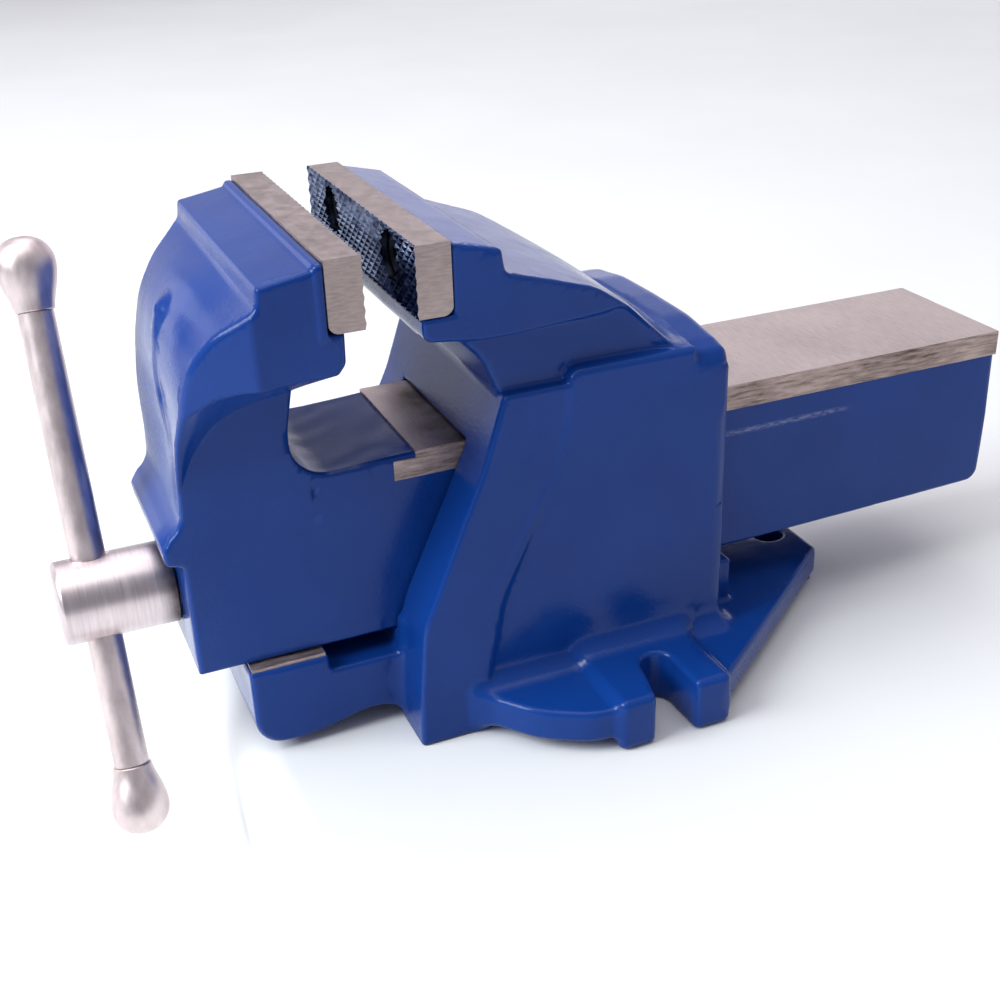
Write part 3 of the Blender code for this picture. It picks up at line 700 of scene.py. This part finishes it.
def make_serrated_steel():
    """The hard blue-black of the gripping faces, with lighter patches of painted glint scattered
    by noise.
    """
    material, tree, shader = new_material("serrated_steel")
    # The lighter stop is painted glint, spread at random over the face; the darker stop is the
    # face's own colour.
    color = ramp(tree, object_noise(tree, 300.0, 3.0), [(0.35, (0.03, 0.045, 0.10)),
                                                        (0.7, (0.22, 0.26, 0.38))])
    tree.links.new(color, shader.inputs["Base Color"])
    tree.links.new(spread(tree, object_noise(tree, 500.0), 0.12, 0.26),
                   shader.inputs["Roughness"])
    shader.inputs["Metallic"].default_value = 1.0
    return material


def make_stage_material():
    """Matt, nearly white, with a faint unevenness."""
    material, tree, shader = new_material("pale_stage")
    color = ramp(tree, object_noise(tree, 6.0, 3.0), [(0.3, (0.74, 0.74, 0.74)),
                                                     (0.7, (0.77, 0.77, 0.77))])
    tree.links.new(color, shader.inputs["Base Color"])
    shader.inputs["Roughness"].default_value = 0.9
    return material


PAINT = make_paint("gloss_blue_enamel")
RUBBED_PAINT = make_paint("rubbed_blue_enamel", rubbed=True)
GROUND_STEEL = make_steel("ground_steel", (0.27, 0.215, 0.205), (0.44, 0.365, 0.35),
                          (0.36, 0.52), (1.0, 1.0, 6.0))
STRIP_STEEL = make_steel("torn_iron", (0.09, 0.065, 0.055), (0.60, 0.48, 0.44), (0.45, 0.7),
                         (5.0, 0.6, 5.0), 170.0, 0.00025)
# Darker in patches along the beam's top from the throat into the body.
MILLED_STEEL = make_steel("milled_iron", (0.42, 0.355, 0.34), (0.62, 0.53, 0.515), (0.42, 0.6),
                          (0.7, 7.0, 1.0), 220.0, 0.00006, ("Y", -58.0, 24.0, 6.0))
# Darker towards the end of the head where it meets the jaw.
SCREW_STEEL = make_steel("turned_steel", (0.58, 0.50, 0.505), (0.74, 0.655, 0.665),
                         (0.30, 0.38), (0.4, 7.0, 0.4), 160.0, 0.000004,
                         ("Y", -140.5, -120.0, 2.5))
BRIGHT_STEEL = make_steel("polished_steel", (0.60, 0.505, 0.50), (0.80, 0.69, 0.68),
                          (0.36, 0.44), (1.0, 1.0, 0.3), 260.0, 0.00001)
# Near black: painted shade for the plate screws sitting deep in their recesses.
DARK_STEEL = make_steel("recess_shade_black", (0.006, 0.006, 0.008), (0.022, 0.022, 0.026), (0.5, 0.65),
                        (1.0, 1.0, 1.0))
PLAIN_STEEL = make_steel("plain_steel", (0.28, 0.27, 0.26), (0.48, 0.47, 0.46), (0.3, 0.45),
                         (1.0, 1.0, 1.0))
IRON = make_steel("bare_iron", (0.08, 0.075, 0.07), (0.18, 0.17, 0.165), (0.5, 0.7),
                  (1.0, 1.0, 1.0), 180.0, 0.0002)
SERRATED = make_serrated_steel()


# ---------------------------------------------------------------- castings

def build_castings():
    """The painted body and slide."""
    body = cast_mesh("body_paint", body_shape, *BODY_RANGE)
    add_piece("body_paint", body, PAINT, "base", ["body_casting"])
    slide = cast_mesh("slide_paint", slide_shape, *SLIDE_RANGE)
    add_piece("slide_paint", slide, RUBBED_PAINT, "sliding_jaw", ["slide_casting"])


def build_machined_faces():
    """The bare top and edges of the beam, and the pad on the body's nose."""
    rear = BEAM_REAR_Y - 0.1
    outline = [(-71.4, 82.4), (-71.4, THROAT_FLOOR - 0.5), (MACHINED_FROM_Y, THROAT_FLOOR - 0.5),
               (MACHINED_FROM_Y, BEAM_TOP), (rear, BEAM_TOP), (rear, 82.4)]
    strip = prism_mesh("beam_machined_strip", outline, -HALF_STRIP, HALF_STRIP, 0.35)
    add_piece("beam_machined_strip", strip, STRIP_STEEL, "sliding_jaw")
    strip.materials.append(MILLED_STEEL)
    for polygon in strip.polygons:
        if polygon.normal.z > 0.8:
            polygon.material_index = 1
    pad = [(-121.6, 30.0), (-121.6, FLOOR_TOP), (-98.6, FLOOR_TOP), (-98.6, 30.0)]
    add_piece("tongue_pad", prism_mesh("tongue_pad", pad, -30.0, 30.0, 0.2), STRIP_STEEL, "base")


# ---------------------------------------------------------------- jaw plates and their screws

CELLS_PER_DIAMOND = 8
CELLS_ACROSS = CELLS_PER_DIAMOND * 25
CELLS_UP = 46
SERRATION_DEPTH = 0.9
TIP_CUT = 0.94               # the diamonds' tips are flat above this share of their height
PLATE_CORNER_RADIUS = 3.0    # a plate's lower edge at the back
PLATE_HOLE = [(-1, 7.0), (4.0, 7.0), (7.0, 4.4), (PLATE_THICKNESS + 2, 4.4)]
PLATE_SCREW = [(2.7, 5.8), (3.0, 6.3), (4.0, 6.5), (6.9, 4.0), (18.5, 4.0), (20.0, 3.0)]


def groove_distance(steps):
    """0 in a groove and 1 midway between grooves, which are CELLS_PER_DIAMOND steps apart."""
    share = (steps % CELLS_PER_DIAMOND) / CELLS_PER_DIAMOND
    return 1 - abs(2 * share - 1)


def groove_depth(i, j):
    """Depth of the grooves at a grid point; they are shallower along the plate's edges."""
    from_end = min(i, CELLS_ACROSS - i)
    from_edge = min(j, CELLS_UP - j)
    return SERRATION_DEPTH * min(1.0, 0.45 + 0.25 * from_end, 0.8 + 0.2 * from_edge)


def gripping_face(bm, face_y, direction):
    """The serrated face, as rows of vertices joined by triangles."""
    rows = []
    for j in range(CELLS_UP + 1):
        z = PLATE_BOTTOM + (JAW_TOP - PLATE_BOTTOM) * j / CELLS_UP
        row = []
        for i in range(CELLS_ACROSS + 1):
            rise = min(groove_distance(i + j), groove_distance(i - j), TIP_CUT) / TIP_CUT
            x = -HALF_JAW + 2 * HALF_JAW * i / CELLS_ACROSS
            y = face_y + direction * groove_depth(i, j) * (1 - rise)
            row.append(bm.verts.new(Vector((x, y, z)) * MM))
        rows.append(row)
    for j in range(CELLS_UP):
        for i in range(CELLS_ACROSS):
            corners = [rows[j][i], rows[j][i + 1], rows[j + 1][i + 1], rows[j + 1][i]]
            turn = 1 if (i + j + 1) % CELLS_PER_DIAMOND == 0 else 0
            corners = corners[turn:] + corners[:turn]
            bm.faces.new(corners[:3])
            bm.faces.new([corners[0], corners[2], corners[3]])
    return rows


def plate_sections():
    """(distance behind the face, lift of the lower edge, inset all round) of a plate's rings."""
    radius = PLATE_CORNER_RADIUS
    sections = [(1.15, 0.0, 0.0), (PLATE_THICKNESS - radius, 0.0, 0.0)]
    for step in range(1, 7):
        angle = math.pi / 2 * step / 6
        sections.append((PLATE_THICKNESS - radius * (1 - math.sin(angle)),
                         radius * (1 - math.cos(angle)), 0.25 if step == 6 else 0.0))
    return sections


def plate_rings(bm, rim, face_y, direction):
    """The face's rim and its copies behind it, up to the plate's back."""
    height = JAW_TOP - PLATE_BOTTOM
    rings = [rim]
    for depth, lift, inset in plate_sections():
        ring = []
        for vert in rim:
            x, _, z = vert.co / MM
            z = PLATE_BOTTOM + lift + (z - PLATE_BOTTOM) * (height - lift - inset) / height
            x *= (HALF_JAW - inset) / HALF_JAW
            ring.append(bm.verts.new(Vector((x, face_y + direction * depth, z)) * MM))
        rings.append(ring)
    return rings


def serrated_plate(name, face_y, direction):
    """A jaw plate whose gripping face is cut into diamonds by two sets of grooves."""
    bm = bmesh.new()
    rows = gripping_face(bm, face_y, direction)
    rim = rows[0] + [row[-1] for row in rows[1:]] + rows[-1][-2::-1]
    rim += [row[0] for row in rows[-2:0:-1]]
    rings = plate_rings(bm, rim, face_y, direction)
    for first, second in zip(rings, rings[1:]):
        for index in range(len(rim)):
            after = (index + 1) % len(rim)
            bm.faces.new((first[index], first[after], second[after], second[index]))
    bm.faces.new(rings[-1])
    mesh = finish_bmesh(name, bm, 20)
    holes = [turned_mesh("hole", PLATE_HOLE, (side * PLATE_SCREW_X, face_y, PLATE_SCREW_Z),
                         (0, direction, 0), 48) for side in (-1, 1)]
    return carve(mesh, *holes)


def paint_gripping_face(mesh, direction):
    """Give the serrated face its dark finish, and the screw holes the same dark colour as painted
    shade.
    """
    mesh.materials.append(SERRATED)
    for polygon in mesh.polygons:
        x, _, z = polygon.center / MM
        # The hole walls take the dark finish as painted shade of the recess.
        in_hole = math.hypot(abs(x) - PLATE_SCREW_X, z - PLATE_SCREW_Z) < 7.2
        if in_hole or polygon.normal.y * -direction > 0.25:
            polygon.material_index = 1


def build_plates():
    """Both jaw plates and their four screws with hexagon sockets."""
    for name, face_y, direction, body, word in (
            ("fixed_jaw_plate", FIXED_FACE_Y, 1, "base", "fixed"),
            ("moving_jaw_plate", MOVING_FACE_Y, -1, "sliding_jaw", "moving")):
        mesh = serrated_plate("serrated_" + name, face_y, direction)
        piece = add_piece("serrated_" + name, mesh, GROUND_STEEL, body, [name])
        paint_gripping_face(piece.data, direction)
        for side, hand in ((-1, "left"), (1, "right")):
            node = f"{word}_plate_screw_{hand}"
            start = Vector((side * PLATE_SCREW_X, face_y, PLATE_SCREW_Z))
            screw = turned_mesh(node, PLATE_SCREW, start, (0, direction, 0), 48)
            socket = turned_mesh("socket", [(0, 2.9), (5.0, 2.9), (6.2, 0)], start,
                                 (0, direction, 0), 6)
            add_piece("socket_" + node, carve(screw, socket), DARK_STEEL, body,
                      [node])


# ---------------------------------------------------------------- screw and handle

THREAD_PITCH = 5.0
THREAD_START_Y = -96.0
ROOT_RADIUS = 8.5
CREST_HALF_WIDTH = 0.95
ROOT_HALF_WIDTH = 1.65
RIDGE_SINK = 0.4             # how far the ridge's foot is buried in the screw's core


def add_thread(bm):
    """Trapezoidal ridge, right-handed, wound on the screw's core as one closed sweep."""
    steps = 48
    turns = (SCREW_END_Y - 4.0 - THREAD_START_Y) / THREAD_PITCH
    sections = []
    total = int(turns * steps)
    for index in range(total + 1):
        angle = 2 * math.pi * index / steps
        fade = min(1.0, index / 20, (total - index) / 20)
        crest = ROOT_RADIUS - 0.3 + (SCREW_RADIUS - ROOT_RADIUS + 0.3) * max(fade, 0.05)
        y = THREAD_START_Y + THREAD_PITCH * index / steps
        ring = []
        for along, radius in ((-ROOT_HALF_WIDTH, ROOT_RADIUS - RIDGE_SINK),
                              (-CREST_HALF_WIDTH, crest), (CREST_HALF_WIDTH, crest),
                              (ROOT_HALF_WIDTH, ROOT_RADIUS - RIDGE_SINK)):
            ring.append(bm.verts.new(Vector((radius * math.sin(angle), y + along,
                                             SCREW_HEIGHT + radius * math.cos(angle))) * MM))
        sections.append(ring)
    for first, second in zip(sections, sections[1:]):
        for corner in range(4):
            after = (corner + 1) % 4
            bm.faces.new((first[corner], first[after], second[after], second[corner]))
    bm.faces.new(sections[0])
    bm.faces.new(sections[-1])


def build_screw():
    """The main screw: round head with its cross hole, plain neck and thread."""
    length = SCREW_END_Y - HEAD_FRONT_Y
    head_end = SLIDE_FRONT_Y - 0.3 - HEAD_FRONT_Y
    thread_at = THREAD_START_Y - 3.0 - HEAD_FRONT_Y
    profile = [(0.25, 0.0), (0.25, HEAD_RADIUS - 4.0), (0.0, HEAD_RADIUS - 2.4),
               (0.05, HEAD_RADIUS - 1.3), (0.5, HEAD_RADIUS - 0.5), (1.3, HEAD_RADIUS),
               (head_end - 0.6, HEAD_RADIUS), (head_end, HEAD_RADIUS - 0.6),
               (head_end, SCREW_RADIUS), (thread_at, SCREW_RADIUS),
               (thread_at + 2.0, ROOT_RADIUS), (length - 2.0, ROOT_RADIUS),
               (length, ROOT_RADIUS - 1.5), (length, 0.0)]
    start = Vector((0, HEAD_FRONT_Y, SCREW_HEIGHT))
    screw = turned_mesh("main_screw_turned", profile, start, (0, 1, 0), 128)
    centre = Vector((0, BAR_Y, SCREW_HEIGHT))
    reach = HEAD_RADIUS
    hole = [(-30, BAR_RADIUS + 3.0), (-reach - 0.5, BAR_RADIUS + 1.6),
            (-reach + 1.6, BAR_RADIUS + 0.35), (reach - 1.6, BAR_RADIUS + 0.35),
            (reach + 0.5, BAR_RADIUS + 1.6), (30, BAR_RADIUS + 3.0)]
    screw = carve(screw, turned_mesh("bar_hole", hole, centre, BAR_AXIS, 64))
    bm = bmesh.new()
    bm.from_mesh(screw)
    add_thread(bm)
    mesh = finish_bmesh("main_screw_turned", bm, 30)
    add_piece("main_screw_turned", mesh, SCREW_STEEL, "main_screw",
              ["main_screw"])


SHOULDER = 13.75             # from a knob's widest part to the end of the bar
KNOB_PROFILE = [(-13.7, 3.2), (-13.7, 5.5), (-13.4, 5.85), (-12.5, 6.0), (-11.0, 6.3),
                (-9.5, 6.7), (-8.0, 7.2), (-6.5, 7.65), (-5.0, 8.05), (-3.5, 8.4), (-2.0, 8.65),
                (-0.5, 8.77), (1.0, 8.7), (2.5, 8.42), (4.0, 7.8), (5.3, 6.95), (6.4, 5.95),
                (7.2, 4.8), (7.8, 3.5), (8.15, 2.1), (8.25, 0.9), (8.3, 0.0)]


def build_handle():
    """The bar and its two knobs."""
    centre = Vector((0, BAR_Y, SCREW_HEIGHT))
    low = -(LOWER_ARM - SHOULDER)
    high = UPPER_ARM - SHOULDER
    profile = [(low - 6, 3.0), (low, 3.0), (low, BAR_RADIUS - 0.3), (low + 0.3, BAR_RADIUS),
               (high - 0.3, BAR_RADIUS), (high, BAR_RADIUS - 0.3), (high, 3.0), (high + 6, 3.0)]
    bar = turned_mesh("bar_bright", profile, centre, BAR_AXIS, 64)
    add_piece("bar_bright", bar, BRIGHT_STEEL, "handle", ["handle_bar"])
    for word, arm, direction in (("upper", UPPER_ARM, 1), ("lower", LOWER_ARM, -1)):
        axis = BAR_AXIS * direction
        knob = turned_mesh("knob_bright_" + word, KNOB_PROFILE, centre + axis * arm, axis, 64)
        add_piece("knob_bright_" + word, knob, BRIGHT_STEEL, "handle",
                  ["handle_knob_" + word])


def dress_carried_nodes():
    """Materials for the hidden parts whose CAD shapes are kept."""
    finishes = {"screw_nut": IRON, "nut_bolt": PLAIN_STEEL, "nut_bolt_washer": PLAIN_STEEL,
                "nut_dowel_front": PLAIN_STEEL, "nut_dowel_rear": PLAIN_STEEL,
                "thrust_washer": PLAIN_STEEL, "retaining_collar": PLAIN_STEEL,
                "collar_pin": PLAIN_STEEL}
    for name, material in finishes.items():
        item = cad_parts[name]
        for slot in item.material_slots:
            slot.material = material


# ---------------------------------------------------------------- stage, light and camera

STAGE_REACH = 2500.0
BENCH_FRONT_Y = -129.0       # the bar's lower knob swings in front of this edge
FLOOR_Z = -90.0


def build_stage():
    """A pale bench top under the base, and a floor lower down in front of it."""
    material = make_stage_material()
    far = STAGE_REACH
    edge = [(BENCH_FRONT_Y, FLOOR_Z), (BENCH_FRONT_Y, 0.0, 14.0), (far, 0.0), (far, FLOOR_Z)]
    bench = prism_mesh("stage_bench", edge, -far, far)
    edge = [(-far, FLOOR_Z - 10.0), (-far, FLOOR_Z), (far, FLOOR_Z), (far, FLOOR_Z - 10.0)]
    floor = prism_mesh("stage_floor", edge, -far, far)
    for name, mesh in (("stage_bench", bench), ("stage_floor", floor)):
        mesh.materials.append(material)
        item = bpy.data.objects.new(name, mesh)
        bpy.context.collection.objects.link(item)


def add_light(name, azimuth, elevation, distance, size, power, color):
    """A square soft light looking at the vise's middle."""
    aim = Vector((0.0, -0.02, 0.08))
    turn = math.radians(azimuth)
    rise = math.radians(elevation)
    offset = Vector((math.sin(turn) * math.cos(rise), -math.cos(turn) * math.cos(rise),
                     math.sin(rise))) * distance
    data = bpy.data.lights.new(name, "AREA")
    data.shape = "SQUARE"
    data.size = size
    data.energy = power
    data.color = color
    light = bpy.data.objects.new(name, data)
    light.location = aim + offset
    light.rotation_euler = (-offset).to_track_quat("-Z", "Y").to_euler()
    bpy.context.collection.objects.link(light)


def build_world():
    """Soft surroundings: pale all round, darker on the side that faces the side of the vise."""
    world = bpy.data.worlds.new("studio")
    bpy.context.scene.world = world
    world.use_nodes = True
    tree = world.node_tree
    place = add_node(tree, "ShaderNodeTexCoord")
    facing = add_node(tree, "ShaderNodeVectorMath", operation="DOT_PRODUCT")
    facing.inputs[1].default_value = (0.93, -0.30, -0.2)
    tree.links.new(place.outputs["Generated"], facing.inputs[0])
    glow = spread(tree, facing.outputs["Value"], 0.0, 1.0, -1.0, 1.0)
    color = ramp(tree, glow, [(0.30, (0.64, 0.62, 0.67)), (0.62, (0.50, 0.50, 0.54)),
                              (0.85, (0.27, 0.27, 0.31))])
    background = tree.nodes["Background"]
    tree.links.new(color, background.inputs["Color"])
    background.inputs["Strength"].default_value = 1.0


# Name, azimuth and elevation in degrees, distance and width in metres, watts, colour.
LIGHTS = [("overhead", 20, 84, 1.9, 1.7, 13.5, (1.0, 1.0, 1.0)),
          ("high_window", 262, 55, 1.9, 1.2, 6, (0.92, 0.92, 1.0)),
          ("low_window", 236, 3, 1.9, 1.3, 2.5, (0.93, 0.91, 1.0)),
          ("left_window", 303, 8, 1.9, 1.0, 2.5, (0.95, 0.93, 1.0)),
          ("front", 2, 36, 1.6, 0.9, 30, (0.90, 0.97, 1.0))]


def build_lights():
    """Everything that lights the vise."""
    build_world()
    for light in LIGHTS:
        add_light(*light)


# Fitted to the photo's straight edges.
CAMERA_PLACE = (0.38172, -0.18282, 0.26455)
CAMERA_BACK = (0.8241, -0.3367, 0.4555)
CAMERA_ROLL = math.radians(-2.0)
CAMERA_LENS = 49.92


def build_camera():
    """The camera at the photo's viewing angle."""
    data = bpy.data.cameras.new("camera")
    data.lens = CAMERA_LENS
    data.sensor_width = 36.0
    data.clip_start = 0.01
    camera = bpy.data.objects.new("camera", data)
    camera.location = CAMERA_PLACE
    upright = (-Vector(CAMERA_BACK)).to_track_quat("-Z", "Y").to_matrix()
    camera.rotation_euler = (upright @ Matrix.Rotation(CAMERA_ROLL, 3, "Z")).to_euler()
    bpy.context.collection.objects.link(camera)
    bpy.context.scene.camera = camera
    bpy.context.scene.view_settings.view_transform = "Standard"


build_castings()
build_machined_faces()
build_plates()
build_screw()
build_handle()
dress_carried_nodes()
build_stage()
build_lights()
build_camera()
